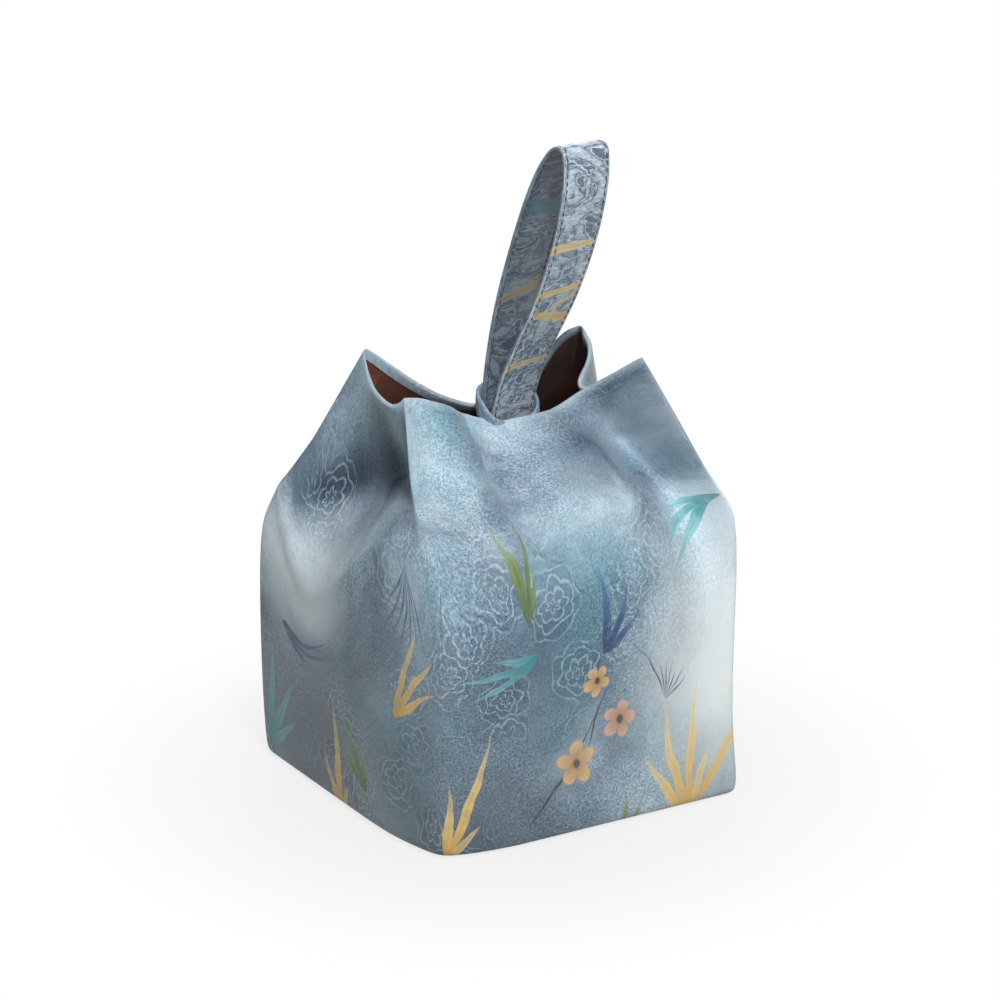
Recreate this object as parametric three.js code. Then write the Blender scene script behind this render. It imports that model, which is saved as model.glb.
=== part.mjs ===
import * as THREE from 'three';

// Square-bottomed cloth wrist bag, drawn shut by its own handle. Millimetres, +Z up, front face toward -Y,
// origin on the table under the middle of the base.

// Body of the bag, measured over the outer cloth
const BAG_WIDTH = 155;
const BAG_DEPTH = 149;
const BASE_ROLL = 6;
const BASE_LAP = 3;
const BELLY_HEIGHT = 42;
const BELLY_BULGE = 1.4;
const NEAR_ROUNDING = 20;

// Thicknesses of the layers and the fit between any two pieces
const CLOTH = 0.8;
const WADDING = 1.2;
const LINING = 0.5;
const BOARD = 1.5;
const FIT = 0.3;

// Handle strap and the loop that holds it
const STRAP_WIDTH = 26;
const STRAP_CLOTH = 0.7;
const STRAP_CORE = 0.5;
const LOOP_HEIGHT = 114.5;
const LOOP_SPREAD = 12.2;
const LOOP_TOP_RADIUS = 5.5;
const TAIL_LENGTH = 20;
const HANDLE_FORWARD_LEAN = 14;
const HANDLE_SIDE_LEAN = 6.5;
const KEEPER_CLOTH = 1.2;
const KEEPER_HEIGHT = 10;
const KEEPER_SLOPE = 0.6;
const KEEPER_RISE = 1;

// Place and turn of the strap in the drawn middle of the mouth
const MOUTH_HEIGHT = 172;
const STRAP_X = 5;
const STRAP_Y = 0.4;
const STRAP_TURN = 12;

// Fits that follow from the sizes above
const STRAP_THICKNESS = 2 * STRAP_CLOTH + STRAP_CORE + 2 * FIT;
const TAIL_HALF = FIT / 2 + STRAP_THICKNESS;
const KEEPER_INNER = TAIL_HALF + FIT;
const KEEPER_OUTER = KEEPER_INNER + KEEPER_CLOTH;
const KEEPER_TOP = MOUTH_HEIGHT + KEEPER_RISE + KEEPER_HEIGHT;
const NECK_RADIUS = TAIL_HALF;
const PIVOT_HEIGHT = KEEPER_TOP + KEEPER_SLOPE * KEEPER_OUTER + NECK_RADIUS;
const WADDING_DEPTH = CLOTH + FIT;
const LINING_LOW = WADDING_DEPTH + WADDING + FIT;
const LINING_HIGH = CLOTH + FIT;

// The fold lines below are drawn for this width and depth, and stretch with the bag
const DRAWN_WIDTH = 155;
const DRAWN_DEPTH = 149;

// Corners of the base, a slightly skewed square, anticlockwise from the near corner
const BASE_CORNERS = [[-80.5, -70.5], [77.5, -79.5], [79.5, 72], [-76.8, 79]];

// Fold lines of the wall, anticlockwise from the near corner: place along the base edge, then the points
// at the shoulder, the crease, the knee and the rim, whose heights count from the mouth. A tight fold has
// close neighbours on both sides, at that share of the way to the next fold lines.
const FOLD_LINES = [
  { at: 0, stops: [[-75, -73, 96], [-68, -43, 139], [-59, -20, 159], [-49, -0.5, 16]], tight: 0.1 },
  { at: 22, stops: [[-55, -77, 97], [-53, -58, 132], [-48, -29, 159], [-40, -3, 16]] },
  { at: 40, stops: [[-38, -80, 99], [-38, -66, 134], [-34, -36, 158], [-27, -6, 9.5]] },
  { at: 52, stops: [[-27, -79, 101], [-25, -55, 134], [-21, -22, 154], [-17, -1, 3.5]], tight: 0.22 },
  { at: 67, stops: [[-12, -79, 105], [-12, -61, 137], [-11, -35, 156], [-9, -8.5, 1]] },
  { at: 78, stops: [[1, -79, 107], [1, -61, 139], [1, -36, 156], [1.5, -10, 0.5]] },
  { at: 90, stops: [[14, -79, 109], [14, -62, 141], [13, -38, 158], [12, -10.5, 1]] },
  { at: 116, stops: [[39, -80, 116], [33, -67, 145], [26, -45, 162], [19, -14, 2.5]] },
  { at: 136, stops: [[62, -71, 118], [57, -45, 141], [48, -26, 159], [36, -22, 11]] },
  { at: 155, stops: [[79.5, -76.5, 130], [72.5, -66.5, 149], [63.5, -55, 171], [50.5, -40, 27]], tight: 0.14 },
  { at: 193, stops: [[78, -38, 108], [78, -34, 126], [71, -25, 152], [57, -18, 14]] },
  { at: 229, stops: [[78, 0, 90], [71, 0, 108], [54, -1, 142], [36, -3, 1]] },
  { at: 267, stops: [[78, 38, 106], [76, 32, 124], [71, 20, 157], [54, 4, 18]] },
  { at: 304, stops: [[78, 75, 124], [77, 66, 142], [74, 46, 168], [61, 18, 26]], tight: 0.2 },
  { at: 324, stops: [[59, 76, 121], [57, 63, 142], [53, 40, 165], [41, 12, 18]] },
  { at: 344, stops: [[38, 77, 116], [36, 60, 140], [31, 34, 158], [22, 9, -2]] },
  { at: 380, stops: [[0, 78, 110], [0, 60, 137], [0, 34, 156], [1.5, 9, -1]] },
  { at: 420, stops: [[-40, 77, 112], [-38, 66, 136], [-31, 44, 162], [-22, 18, 8]] },
  { at: 459, stops: [[-80.5, 77, 112], [-73.5, 71, 136], [-60.5, 59, 160], [-43, 42.5, 25.5]], tight: 0.14 },
  { at: 478, stops: [[-79, 56, 96], [-78, 56, 112], [-66, 60, 121], [-46.5, 36, 17]] },
  { at: 498, stops: [[-79, 35, 64], [-79, 35, 84], [-55, 43, 128], [-50, 25, 14.5]] },
  { at: 530, stops: [[-79, 3, 90], [-78, 1, 118], [-47, 23, 141], [-52, 12, 12.5]] },
  { at: 568, stops: [[-79, -34, 100], [-71, -18, 141], [-44, 10, 154], [-51, 3, 10]] },
];
const SIDE_LENGTHS = [DRAWN_WIDTH, DRAWN_DEPTH, DRAWN_WIDTH, DRAWN_DEPTH];
const EDGE_LENGTH = 2 * (DRAWN_WIDTH + DRAWN_DEPTH);
const BASE_SPREAD = 0.3;

// Rows of the wall, from the seam under the base to the rim
const ROLL_STEPS = 3;
const FOOT_ROW = 1 + ROLL_STEPS;
const LINING_FOOT_ROW = FOOT_ROW - 1;
const CHEST_ROW = FOOT_ROW + 2;
const SHOULDER_ROW = CHEST_ROW + 1;
const CREASE_ROW = SHOULDER_ROW + 2;
const RIM_ROW = SHOULDER_ROW + 6;
const SEAM_SHARE = 0.06;
const SHOULDER_SEAM_SHARE = 0.005;

// Room that an upright edge leaves for the layers inside it, at the edge and for each millimetre beside
// it: square in the box below the shoulder, folded flat above
const BOX_ROOM = 2;
const BOX_ROOM_SLOPE = 0.5;
const FOLD_ROOM = 0.25;
const FOLD_ROOM_SLOPE = 0.14;

// Point of the base edge at a place along it
function edgePlace(at) {
  let rest = ((at % EDGE_LENGTH) + EDGE_LENGTH) % EDGE_LENGTH;
  let side = 0;
  while (rest > SIDE_LENGTHS[side]) {
    rest -= SIDE_LENGTHS[side];
    side += 1;
  }
  const start = new THREE.Vector2(...BASE_CORNERS[side]);
  const end = new THREE.Vector2(...BASE_CORNERS[(side + 1) % BASE_CORNERS.length]);
  return start.lerp(end, rest / SIDE_LENGTHS[side]);
}

// Point of the base outline, with the near corner worn round
function basePlace(at) {
  const place = edgePlace(at);
  const offset = Math.abs(at > EDGE_LENGTH / 2 ? at - EDGE_LENGTH : at);
  if (offset < NEAR_ROUNDING) {
    const chord = edgePlace(NEAR_ROUNDING).add(edgePlace(-NEAR_ROUNDING)).multiplyScalar(0.5);
    const pull = 0.45 * (1 - offset / NEAR_ROUNDING);
    place.addScaledVector(chord.sub(edgePlace(0)), pull);
  }
  return place;
}

// A drawn point, stretched to the size of the bag
function stretched(x, y, z) {
  return new THREE.Vector3((x * BAG_WIDTH) / DRAWN_WIDTH, (y * BAG_DEPTH) / DRAWN_DEPTH, z);
}

// Point of the lower wall on a fold line, drawn in by an inset
function boxPoint(at, inset, height) {
  const place = basePlace(at);
  const point = stretched(place.x, place.y, height);
  point.x *= 1 - (2 * inset) / BAG_WIDTH;
  point.y *= 1 - (2 * inset) / BAG_DEPTH;
  return point;
}

// Guide points of one fold line, from the seam under the base to the rim
function guideColumn(line) {
  const column = [boxPoint(line.at, BASE_ROLL + BASE_LAP, 0)];
  for (let step = 0; step <= ROLL_STEPS; step += 1) {
    const angle = (Math.PI / 2) * (step / ROLL_STEPS);
    const inset = BASE_ROLL * (1 - Math.sin(angle));
    column.push(boxPoint(line.at, inset, BASE_ROLL * (1 - Math.cos(angle))));
  }
  const [shoulder, crease, knee] = line.stops.slice(0, 3).map((stop) => stretched(...stop));
  const [rimX, rimY, rimRise] = line.stops[3];
  const rim = new THREE.Vector3(rimX, rimY, MOUTH_HEIGHT + rimRise);
  const belly = boxPoint(line.at, -BELLY_BULGE, BELLY_HEIGHT);
  column.push(
    belly,
    belly.clone().lerp(shoulder, 0.5),
    shoulder,
    shoulder.clone().lerp(crease, 0.5),
    crease,
    crease.clone().lerp(knee, 0.5),
    knee,
    knee.clone().lerp(rim, 0.5),
    rim,
  );
  return column;
}

// All guide columns, with the close neighbours of the tight folds
function guideColumns() {
  const count = FOLD_LINES.length;
  const drawn = FOLD_LINES.map(guideColumn);
  const columns = [];
  const tightPlaces = [];
  FOLD_LINES.forEach((line, index) => {
    if (line.tight === undefined) {
      columns.push(drawn[index]);
      return;
    }
    const toward = (other) => drawn[index].map((point, row) => {
      const rise = THREE.MathUtils.clamp((row - FOOT_ROW) / (CREASE_ROW - FOOT_ROW), 0, 1);
      return point.clone().lerp(other[row], THREE.MathUtils.lerp(BASE_SPREAD, line.tight, rise));
    });
    columns.push(toward(drawn[(index + count - 1) % count]));
    tightPlaces.push(columns.length);
    columns.push(drawn[index], toward(drawn[(index + 1) % count]));
  });
  return { columns, tightPlaces };
}

// Point of a soft curve at the middle one of three guide points
function softPoint(before, point, after) {
  return before.clone().add(after).addScaledVector(point, 4).divideScalar(6);
}

// Point of a soft curve halfway between the middle two of four guide points
function softHalf(before, start, end, after) {
  return before.clone().add(after).addScaledVector(start, 23).addScaledVector(end, 23).divideScalar(48);
}

// Closed ring that follows its guide points softly, at each one and halfway to the next
function softRing(guides) {
  const count = guides.length;
  const ring = [];
  guides.forEach((point, index) => {
    const before = guides[(index + count - 1) % count];
    const after = guides[(index + 1) % count];
    const second = guides[(index + 2) % count];
    ring.push(softPoint(before, point, after), softHalf(before, point, after, second));
  });
  return ring;
}

// Rings of the wall: the rolled foot as drawn, and above it soft upright lines
function wallRings(columns) {
  const guides = columns[0].map((point, row) => softRing(columns.map((column) => column[row])));
  return guides.map((ring, row) => ring.map((point, column) => {
    if (row <= FOOT_ROW || row === RIM_ROW) {
      return point.clone();
    }
    return softPoint(guides[row - 1][column], point, guides[row + 1][column]);
  }));
}

const GUIDES = guideColumns();
const RINGS = wallRings(GUIDES.columns);
const COLUMN_COUNT = RINGS[0].length;
const [NEAR_EDGE, , RIGHT_EDGE, BACK_EDGE, LEFT_EDGE] = GUIDES.tightPlaces.map((place) => 2 * place);
const EDGE_COLUMNS = [NEAR_EDGE, RIGHT_EDGE, BACK_EDGE, LEFT_EDGE];

// Outward normals of the wall at every sampled point
function wallNormals(rings) {
  return rings.map((ring, row) => ring.map((point, column) => {
    const left = ring[(column + COLUMN_COUNT - 1) % COLUMN_COUNT];
    const right = ring[(column + 1) % COLUMN_COUNT];
    const below = rings[Math.max(row - 1, 0)][column];
    const above = rings[Math.min(row + 1, rings.length - 1)][column];
    const along = right.clone().sub(left);
    const up = above.clone().sub(below);
    return along.cross(up).normalize();
  }));
}

const NORMALS = wallNormals(RINGS);

// Depth of the lining, which lies deeper where the wadding is
function liningDepth(row) {
  const share = THREE.MathUtils.clamp(row - SHOULDER_ROW, 0, 1);
  return THREE.MathUtils.lerp(LINING_LOW, LINING_HIGH, share);
}

// Share of its full depth that a layer can have at every sampled point, less beside an upright edge
const LAYER_ROOM = RINGS.map((ring, row) => ring.map((point) => {
  const reach = Math.min(...EDGE_COLUMNS.map((column) => point.distanceTo(ring[column])));
  const [atEdge, slope] = row > SHOULDER_ROW ? [FOLD_ROOM, FOLD_ROOM_SLOPE] : [BOX_ROOM, BOX_ROOM_SLOPE];
  const room = reach === 0 ? atEdge : slope * reach;
  return new THREE.Vector3(Math.min(1, room / (liningDepth(row) + LINING)), 0, 0);
}));

// Value of a sampled field at a fractional row and column
function sampleField(field, row, column) {
  const lowRow = Math.min(Math.floor(row), field.length - 2);
  const lowColumn = Math.floor(column);
  const first = ((lowColumn % COLUMN_COUNT) + COLUMN_COUNT) % COLUMN_COUNT;
  const second = (first + 1) % COLUMN_COUNT;
  const share = column - lowColumn;
  const below = field[lowRow][first].clone().lerp(field[lowRow][second], share);
  const above = field[lowRow + 1][first].clone().lerp(field[lowRow + 1][second], share);
  return below.lerp(above, row - lowRow);
}

// Point of the wall at a depth inward from the outer face
function wallPoint(row, column, depth) {
  const normal = sampleField(NORMALS, row, column).normalize();
  const room = sampleField(LAYER_ROOM, row, column).x;
  return sampleField(RINGS, row, column).addScaledVector(normal, -depth * room);
}

// Whole steps between two fractional ends, with the ends themselves
function stepsBetween(start, end) {
  const steps = [start];
  for (let value = Math.floor(start) + 1; value < end - 0.001; value += 1) {
    steps.push(value);
  }
  steps.push(end);
  return steps;
}

// Closed slab cut from the wall between two rows, two columns and two depths
function wallSlab(rowRange, columnRange, outerDepth, innerDepth) {
  const rows = stepsBetween(...rowRange);
  const columns = stepsBetween(...columnRange);
  const across = columns.length;
  const layerSize = rows.length * across;
  const positions = [];
  for (const depthAt of [outerDepth, innerDepth]) {
    for (const row of rows) {
      for (const column of columns) {
        positions.push(...wallPoint(row, column, depthAt(row)).toArray());
      }
    }
  }
  const indices = [];
  const quad = (a, b, c, d) => indices.push(a, b, c, a, c, d);
  for (let row = 0; row < rows.length - 1; row += 1) {
    for (let column = 0; column < across - 1; column += 1) {
      const corner = row * across + column;
      quad(corner, corner + 1, corner + across + 1, corner + across);
      const inner = corner + layerSize;
      quad(inner, inner + across, inner + across + 1, inner + 1);
    }
  }
  const top = (rows.length - 1) * across;
  for (let column = 0; column < across - 1; column += 1) {
    quad(column, column + layerSize, column + layerSize + 1, column + 1);
    const upper = top + column;
    quad(upper, upper + 1, upper + layerSize + 1, upper + layerSize);
  }
  for (let row = 0; row < rows.length - 1; row += 1) {
    const start = row * across;
    quad(start, start + across, start + across + layerSize, start + layerSize);
    const end = start + across - 1;
    quad(end, end + layerSize, end + across + layerSize, end + across);
  }
  const geometry = new THREE.BufferGeometry();
  geometry.setAttribute('position', new THREE.Float32BufferAttribute(positions, 3));
  geometry.setIndex(indices);
  geometry.computeVertexNormals();
  return geometry;
}

// Plate lying flat, with the outline of the base drawn in by an inset
function plate(inset, bottom, thickness) {
  const shrinkX = 1 - (2 * inset) / BAG_WIDTH;
  const shrinkY = 1 - (2 * inset) / BAG_DEPTH;
  const corners = RINGS[FOOT_ROW].map((point) => new THREE.Vector2(point.x * shrinkX, point.y * shrinkY));
  const outline = new THREE.Shape(corners);
  const geometry = new THREE.ExtrudeGeometry(outline, { depth: thickness, bevelEnabled: false });
  geometry.translate(0, 0, bottom);
  return geometry;
}

// Flat band of cloth that follows a line in the upright front-to-back plane and drifts to the right
function band(line, nearSide, farSide, width) {
  const sideways = line.map((point, index) => {
    const before = line[Math.max(index - 1, 0)];
    const after = line[Math.min(index + 1, line.length - 1)];
    const along = after.clone().sub(before).normalize();
    return new THREE.Vector2(-along.y, along.x);
  });
  const near = line.map((point, index) => point.clone().addScaledVector(sideways[index], nearSide));
  const far = line.map((point, index) => point.clone().addScaledVector(sideways[index], farSide));
  const outline = new THREE.Shape([...near, ...far.reverse()]);
  const geometry = new THREE.ExtrudeGeometry(outline, { depth: width, bevelEnabled: false });
  geometry.translate(0, 0, -width / 2);
  geometry.rotateX(Math.PI / 2);
  geometry.rotateZ(Math.PI / 2);
  const drift = Math.tan(THREE.MathUtils.degToRad(HANDLE_SIDE_LEAN));
  geometry.applyMatrix4(new THREE.Matrix4().makeShear(0, 0, 0, 0, drift, 0));
  return geometry;
}

// Middle line of the strap loop: up the front leg, over the top and down the back leg
function loopLine() {
  const root = TAIL_HALF - STRAP_THICKNESS / 2;
  const start = NECK_RADIUS + FIT;
  const top = LOOP_HEIGHT - STRAP_THICKNESS / 2;
  const leg = [
    new THREE.Vector2(-root, start),
    new THREE.Vector2(-0.62 * LOOP_SPREAD, start + 9),
    new THREE.Vector2(-0.95 * LOOP_SPREAD, start + 32),
    new THREE.Vector2(-LOOP_SPREAD, start + 58),
    new THREE.Vector2(-0.85 * LOOP_SPREAD, top - 3 * LOOP_TOP_RADIUS),
    new THREE.Vector2(-0.8 * LOOP_TOP_RADIUS, top - 0.4 * LOOP_TOP_RADIUS),
  ];
  const mirrored = leg.map((point) => new THREE.Vector2(-point.x, point.y)).reverse();
  const crown = new THREE.Vector2(0, top);
  return new THREE.SplineCurve([...leg, crown, ...mirrored]).getSpacedPoints(44);
}

// Stadium-shaped outline round the strap
function stadium(halfDepth, halfWidth) {
  const straight = halfWidth - halfDepth;
  const outline = new THREE.Path();
  outline.moveTo(-straight, -halfDepth);
  outline.lineTo(straight, -halfDepth);
  outline.absarc(straight, 0, halfDepth, -Math.PI / 2, Math.PI / 2, false);
  outline.lineTo(-straight, halfDepth);
  outline.absarc(-straight, 0, halfDepth, Math.PI / 2, 1.5 * Math.PI, false);
  return outline;
}

// Sewn loop that holds the strap, lower at the front than at the back
function keeper() {
  const halfWidth = STRAP_WIDTH / 2 + KEEPER_INNER;
  const outline = new THREE.Shape(stadium(KEEPER_OUTER, halfWidth + KEEPER_CLOTH).getPoints(5));
  outline.holes.push(new THREE.Path(stadium(KEEPER_INNER, halfWidth).getPoints(5).reverse()));
  const geometry = new THREE.ExtrudeGeometry(outline, { depth: KEEPER_HEIGHT, bevelEnabled: false });
  const position = geometry.attributes.position;
  for (let index = 0; index < position.count; index += 1) {
    position.setZ(index, position.getZ(index) + KEEPER_SLOPE * position.getY(index));
  }
  geometry.translate(0, 0, MOUTH_HEIGHT + KEEPER_RISE);
  return geometry;
}

// Straight end of the strap, hanging through the keeper
function tail(side) {
  const top = PIVOT_HEIGHT - NECK_RADIUS - FIT;
  const geometry = new THREE.BoxGeometry(STRAP_WIDTH, STRAP_THICKNESS, TAIL_LENGTH);
  geometry.translate(0, side * (FIT / 2 + STRAP_THICKNESS / 2), top - TAIL_LENGTH / 2);
  return geometry;
}

// Pinched root of the strap loop, round so that the loop can fold over it
function neck() {
  const geometry = new THREE.CylinderGeometry(NECK_RADIUS, NECK_RADIUS, STRAP_WIDTH, 20);
  geometry.rotateZ(Math.PI / 2);
  return geometry;
}

const bag = new THREE.Group();
bag.name = 'wrist_bag';

// Adds one named piece to a group
function addPiece(group, name, geometry, look) {
  const mesh = new THREE.Mesh(geometry, new THREE.MeshStandardMaterial(look));
  mesh.name = name;
  group.add(mesh);
}

// Surface looks, each handed to its own material
const OUTER_LOOK = { color: 0x8fa5b6, roughness: 0.55, metalness: 0 };
const LINING_LOOK = { color: 0x5a3325, roughness: 0.6, metalness: 0 };
const WADDING_LOOK = { color: 0xe8e4da, roughness: 0.95, metalness: 0 };
const BOARD_LOOK = { color: 0xb49a78, roughness: 0.9, metalness: 0 };
const CORE_LOOK = { color: 0xdcd8ce, roughness: 0.95, metalness: 0 };

// Columns of the two wraps, which meet at the right and left upright edges, and of the four faces
const WRAPS = {
  front_left: [LEFT_EDGE - COLUMN_COUNT + SEAM_SHARE, RIGHT_EDGE - SEAM_SHARE],
  back_right: [RIGHT_EDGE + SEAM_SHARE, LEFT_EDGE - SEAM_SHARE],
};
const LOWER_ROWS = [0, SHOULDER_ROW - SHOULDER_SEAM_SHARE];
const UPPER_ROWS = [SHOULDER_ROW + SHOULDER_SEAM_SHARE, RIM_ROW];
const FACES = {
  front: [NEAR_EDGE, RIGHT_EDGE],
  right: [RIGHT_EDGE, BACK_EDGE],
  back: [BACK_EDGE, LEFT_EDGE],
  left: [LEFT_EDGE, NEAR_EDGE + COLUMN_COUNT],
};

// Outer cloth and lining, each in two wraps, lower box and drawn-in upper part
for (const [wrap, span] of Object.entries(WRAPS)) {
  const cloth = [() => 0, () => CLOTH];
  addPiece(bag, `outer_${wrap}_lower`, wallSlab(LOWER_ROWS, span, ...cloth), OUTER_LOOK);
  addPiece(bag, `outer_${wrap}_upper`, wallSlab(UPPER_ROWS, span, ...cloth), OUTER_LOOK);
  const lining = [liningDepth, (row) => liningDepth(row) + LINING];
  const liningRows = [LINING_FOOT_ROW, LOWER_ROWS[1]];
  addPiece(bag, `lining_${wrap}_lower`, wallSlab(liningRows, span, ...lining), LINING_LOOK);
  addPiece(bag, `lining_${wrap}_upper`, wallSlab(UPPER_ROWS, span, ...lining), LINING_LOOK);
}

// Wadding panels behind the four flat faces
for (const [face, [start, end]] of Object.entries(FACES)) {
  const depths = [() => WADDING_DEPTH, () => WADDING_DEPTH + WADDING];
  const slab = wallSlab([FOOT_ROW, CHEST_ROW], [start + 2, end - 2], ...depths);
  addPiece(bag, `wadding_${face}`, slab, WADDING_LOOK);
}

// Base: cloth panel, board and lining panel
const boardBottom = CLOTH + FIT;
const liningBottom = boardBottom + BOARD + FIT;
addPiece(bag, 'outer_base_panel', plate(BASE_ROLL + BASE_LAP + FIT, 0, CLOTH), OUTER_LOOK);
addPiece(bag, 'base_board', plate(BASE_ROLL, boardBottom, BOARD), BOARD_LOOK);
addPiece(bag, 'lining_base_panel', plate(BASE_ROLL, liningBottom, LINING), LINING_LOOK);

// Keeper loop and the strap ends inside it
const mouth = new THREE.Group();
mouth.position.set(STRAP_X, STRAP_Y, 0);
mouth.rotation.set(0, 0, THREE.MathUtils.degToRad(STRAP_TURN));
bag.add(mouth);
addPiece(mouth, 'keeper_loop', keeper(), OUTER_LOOK);
addPiece(mouth, 'strap_tail_front', tail(-1), OUTER_LOOK);
addPiece(mouth, 'strap_tail_back', tail(1), OUTER_LOOK);

// Strap loop: two cloth strips with a core between them, leaning forward and to the right
const handle = new THREE.Group();
handle.position.set(0, 0, PIVOT_HEIGHT);
handle.rotation.set(THREE.MathUtils.degToRad(HANDLE_FORWARD_LEAN), 0, 0);
mouth.add(handle);
const line = loopLine();
const skin = STRAP_THICKNESS / 2;
const coreHalf = STRAP_CORE / 2;
addPiece(handle, 'strap_neck', neck(), OUTER_LOOK);
addPiece(handle, 'strap_outer_strip', band(line, skin - STRAP_CLOTH, skin, STRAP_WIDTH), OUTER_LOOK);
addPiece(handle, 'strap_core', band(line, -coreHalf, coreHalf, STRAP_WIDTH), CORE_LOOK);
addPiece(handle, 'strap_inner_strip', band(line, -skin, STRAP_CLOTH - skin, STRAP_WIDTH), OUTER_LOOK);

export default bag;
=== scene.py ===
import math

import bpy
import bmesh
import numpy as np
from mathutils import Euler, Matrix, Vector, noise


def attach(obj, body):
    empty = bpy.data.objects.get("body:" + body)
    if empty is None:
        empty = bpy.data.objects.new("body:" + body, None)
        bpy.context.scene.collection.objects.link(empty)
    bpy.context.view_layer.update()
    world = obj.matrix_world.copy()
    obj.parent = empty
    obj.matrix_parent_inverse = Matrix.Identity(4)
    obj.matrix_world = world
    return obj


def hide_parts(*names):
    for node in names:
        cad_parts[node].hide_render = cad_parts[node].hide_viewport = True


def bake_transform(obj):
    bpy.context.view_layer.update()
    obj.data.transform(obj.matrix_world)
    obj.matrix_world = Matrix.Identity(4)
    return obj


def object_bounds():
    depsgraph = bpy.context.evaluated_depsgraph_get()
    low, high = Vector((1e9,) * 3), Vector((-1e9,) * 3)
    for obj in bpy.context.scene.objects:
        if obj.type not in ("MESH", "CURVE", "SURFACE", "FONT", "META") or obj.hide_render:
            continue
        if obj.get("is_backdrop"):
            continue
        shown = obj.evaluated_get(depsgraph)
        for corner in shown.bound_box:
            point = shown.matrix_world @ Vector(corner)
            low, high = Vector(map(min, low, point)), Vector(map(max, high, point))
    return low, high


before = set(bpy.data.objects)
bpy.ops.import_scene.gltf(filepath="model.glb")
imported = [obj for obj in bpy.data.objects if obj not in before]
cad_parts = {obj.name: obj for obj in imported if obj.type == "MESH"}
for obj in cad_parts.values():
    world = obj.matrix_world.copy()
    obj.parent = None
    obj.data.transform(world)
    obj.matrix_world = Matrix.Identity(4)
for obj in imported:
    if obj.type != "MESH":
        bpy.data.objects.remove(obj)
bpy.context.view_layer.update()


# Camera, floor and light
# A long lens looks a little down on the near corner of the bag, which stands on a pale sheet. One soft lamp
# at the upper left gives the shading, and weak lamps at the right, front and back open up the shadows.
CAMERA_AZIMUTH = math.radians(-33.41)
CAMERA_ELEVATION = math.radians(20.24)
CAMERA_DISTANCE = 1.8
VIEW_CENTRE = Vector((0.001, 0.0, 0.1317))


def put_in_scene(name, data):
    thing = bpy.data.objects.new(name, data)
    bpy.context.collection.objects.link(thing)
    return thing


def aim(thing, target):
    direction = Vector(target) - thing.location
    thing.rotation_euler = direction.to_track_quat("-Z", "Y").to_euler()


camera_data = bpy.data.cameras.new("camera")
camera_data.lens = 146.1
camera_data.sensor_width = 36.0
camera = put_in_scene("camera", camera_data)
level_share = math.cos(CAMERA_ELEVATION)
backward = Vector((
    math.sin(CAMERA_AZIMUTH) * level_share,
    -math.cos(CAMERA_AZIMUTH) * level_share,
    math.sin(CAMERA_ELEVATION),
))
camera.location = VIEW_CENTRE + CAMERA_DISTANCE * backward
aim(camera, VIEW_CENTRE)
bpy.context.scene.camera = camera
bpy.context.scene.view_settings.view_transform = "Standard"

# Each lamp has its place, its width in metres and its power in watts
LAMPS = {
    "key": ((-0.40, -1.08, 2.00), 0.42, 51),
    "fill": ((1.6, -1.2, 0.6), 0.9, 3),
    "front_fill": ((-0.75, -1.45, 0.95), 0.6, 9),
    "back_fill": ((1.0, 1.7, 0.9), 1.0, 16),
}
LAMP_TARGET = (0, 0, 0.12)
WORLD_STRENGTH = 0.06
for name, (place, width, power) in LAMPS.items():
    lamp_data = bpy.data.lights.new(name, "AREA")
    lamp_data.shape = "DISK"
    lamp_data.size = width
    lamp_data.energy = power
    lamp = put_in_scene(name, lamp_data)
    lamp.location = place
    aim(lamp, LAMP_TARGET)


def linear(hex_colour):
    channels = [int(hex_colour[start:start + 2], 16) / 255 for start in (1, 3, 5)]
    return [c / 12.92 if c <= 0.04045 else ((c + 0.055) / 1.055) ** 2.4 for c in channels] + [1.0]


# A value is a property of the node, the value of one of its sockets, or a node or socket to link there. Of a
# whole node, the first output in use is taken.
def set_node(tree, node, values):
    for name, value in values.items():
        if isinstance(value, bpy.types.Node):
            value = next(socket for socket in value.outputs if socket.enabled)
        if isinstance(value, bpy.types.NodeSocket):
            tree.links.new(value, node.inputs[name])
        elif isinstance(name, str) and hasattr(node, name):
            setattr(node, name, value)
        else:
            node.inputs[name].default_value = value
    return node


def add_node(tree, kind, values):
    return set_node(tree, tree.nodes.new("ShaderNode" + kind), values)


def calculate(tree, operation, *terms):
    return add_node(tree, "Math", {"operation": operation, **dict(enumerate(terms))})


# Carries a value from the range between start and end to the one between low and high
def ramp(tree, value, start, end, low=0.0, high=1.0, kind="LINEAR"):
    return add_node(tree, "MapRange", {
        "interpolation_type": kind, "From Min": start, "From Max": end, "To Min": low, "To Max": high,
        "Value": value})


# The two colour sockets of a Mix node share their names with its other sockets, so they go by number
COLOUR_A, COLOUR_B = 6, 7


def mix(tree, share, under, over, blend="MIX"):
    return add_node(tree, "Mix", {
        "data_type": "RGBA", "blend_type": blend, "Factor": share, COLOUR_A: under, COLOUR_B: over})


# Soft patches of about a size in millimetres. Each seed gives another pattern.
def patches(tree, place, size, detail, seed=None, roughness=0.5, distortion=0.0):
    pattern = {} if seed is None else {"noise_dimensions": "4D", "W": seed}
    return add_node(tree, "TexNoise", {
        **pattern, "Scale": 1000 / size, "Detail": detail, "Roughness": roughness, "Distortion": distortion,
        "Vector": place})


def new_material(name):
    material = bpy.data.materials.new(name)
    material.use_nodes = True
    return material, material.node_tree, material.node_tree.nodes["Principled BSDF"]


world = bpy.data.worlds.new("studio")
world.use_nodes = True
bpy.context.scene.world = world
background = world.node_tree.nodes["Background"]
set_node(world.node_tree, background, {"Color": (1, 1, 1, 1), "Strength": WORLD_STRENGTH})

FLOOR_HALF_WIDTH = 8.0
FLOOR_LEVEL = -0.0004
SHADOW_START = 0.06
SHADOW_END = 0.22
SHADOW_WHITE = 0.78


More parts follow.
